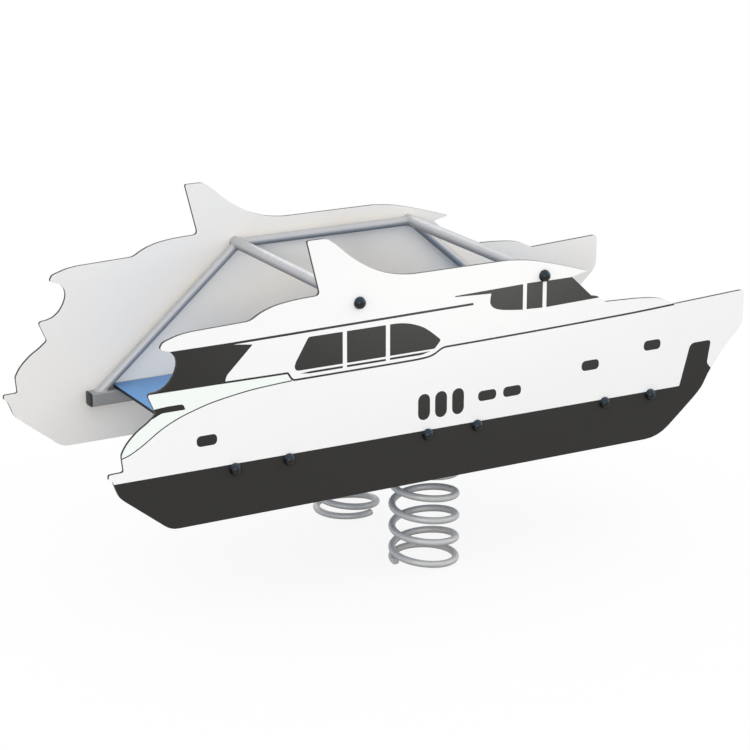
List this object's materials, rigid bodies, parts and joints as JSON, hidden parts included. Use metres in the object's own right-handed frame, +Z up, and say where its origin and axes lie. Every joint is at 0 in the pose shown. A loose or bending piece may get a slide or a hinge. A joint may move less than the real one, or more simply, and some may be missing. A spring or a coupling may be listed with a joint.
{
  "type": "spring_rider",
  "caption": "Yacht-shaped spring rider: milled laminate side panels on a galvanised tube frame with a blue deck, rocking on coil springs",
  "frame": {"origin": "on the ground, midway along the panels and midway between them", "axes": "+X to the bow, +Y to port, +Z up"},
  "size_m": [1.9994, 0.808, 1.0186],
  "materials": {
    "laminate_white": "smooth compact laminate, white decor over a dark core",
    "laminate_blue": "compact laminate, blue decor over a dark core",
    "galvanised_steel": "hot-dip galvanised",
    "spring_paint": "grey powder coat",
    "black_plastic": "satin black polyamide",
    "zinc_plated_steel": "zinc plated"
  },
  "bodies": {
    "springs": {"starboard_spring": "spring_paint", "port_spring": "spring_paint"},
    "rider": {"starboard_panel": "laminate_white", "port_panel": "laminate_white", "deck": "laminate_blue", "starboard_rail": "galvanised_steel", "port_rail": "galvanised_steel", "bearer_aft": "galvanised_steel", "bearer_mid_aft": "galvanised_steel", "bearer_mid_fore": "galvanised_steel", "bearer_fore": "galvanised_steel", "handrail_aft": "galvanised_steel", "handrail_fore": "galvanised_steel", "starboard_top_tube": "galvanised_steel", "starboard_diagonal_aft": "galvanised_steel", "starboard_diagonal_fore": "galvanised_steel", "port_top_tube": "galvanised_steel", "port_diagonal_aft": "galvanised_steel", "port_diagonal_fore": "galvanised_steel", "starboard_head_plate": "galvanised_steel", "port_head_plate": "galvanised_steel", "starboard_rail_cap_aft": "black_plastic", "starboard_rail_cap_fore": "black_plastic", "port_rail_cap_aft": "black_plastic", "port_rail_cap_fore": "black_plastic", "starboard_clamp_1": "zinc_plated_steel", "starboard_clamp_2": "zinc_plated_steel", "starboard_clamp_3": "zinc_plated_steel", "port_clamp_1": "zinc_plated_steel", "port_clamp_2": "zinc_plated_steel", "port_clamp_3": "zinc_plated_steel", "starboard_clamp_bolt_1": "zinc_plated_steel", "starboard_clamp_bolt_2": "zinc_plated_steel", "starboard_clamp_bolt_3": "zinc_plated_steel", "port_clamp_bolt_1": "zinc_plated_steel", "port_clamp_bolt_2": "zinc_plated_steel", "port_clamp_bolt_3": "zinc_plated_steel", "deck_bolt_aft_starboard": "zinc_plated_steel", "deck_bolt_aft_port": "zinc_plated_steel", "deck_bolt_fore_starboard": "zinc_plated_steel", "deck_bolt_fore_port": "zinc_plated_steel", "starboard_panel_bolt_1": "black_plastic", "starboard_panel_bolt_2": "black_plastic", "starboard_panel_bolt_3": "black_plastic", "starboard_panel_bolt_4": "black_plastic", "starboard_panel_bolt_5": "black_plastic", "starboard_panel_bolt_6": "black_plastic", "starboard_panel_bolt_7": "black_plastic", "starboard_panel_bolt_8": "black_plastic", "port_panel_bolt_1": "black_plastic", "port_panel_bolt_2": "black_plastic", "port_panel_bolt_3": "black_plastic", "port_panel_bolt_4": "black_plastic", "port_panel_bolt_5": "black_plastic", "port_panel_bolt_6": "black_plastic", "port_panel_bolt_7": "black_plastic", "port_panel_bolt_8": "black_plastic"}
  },
  "joints": [
    {"name": "rock", "type": "hinge", "parent": "springs", "child": "rider", "pos_m": [0.017, 0, 0.2028], "axis": [0, 1, 0], "range_deg": [-12, 12], "stiffness_Nm_per_rad": 1000, "springref_deg": 0.68, "deforming": ["starboard_spring", "port_spring"]}
  ]
}
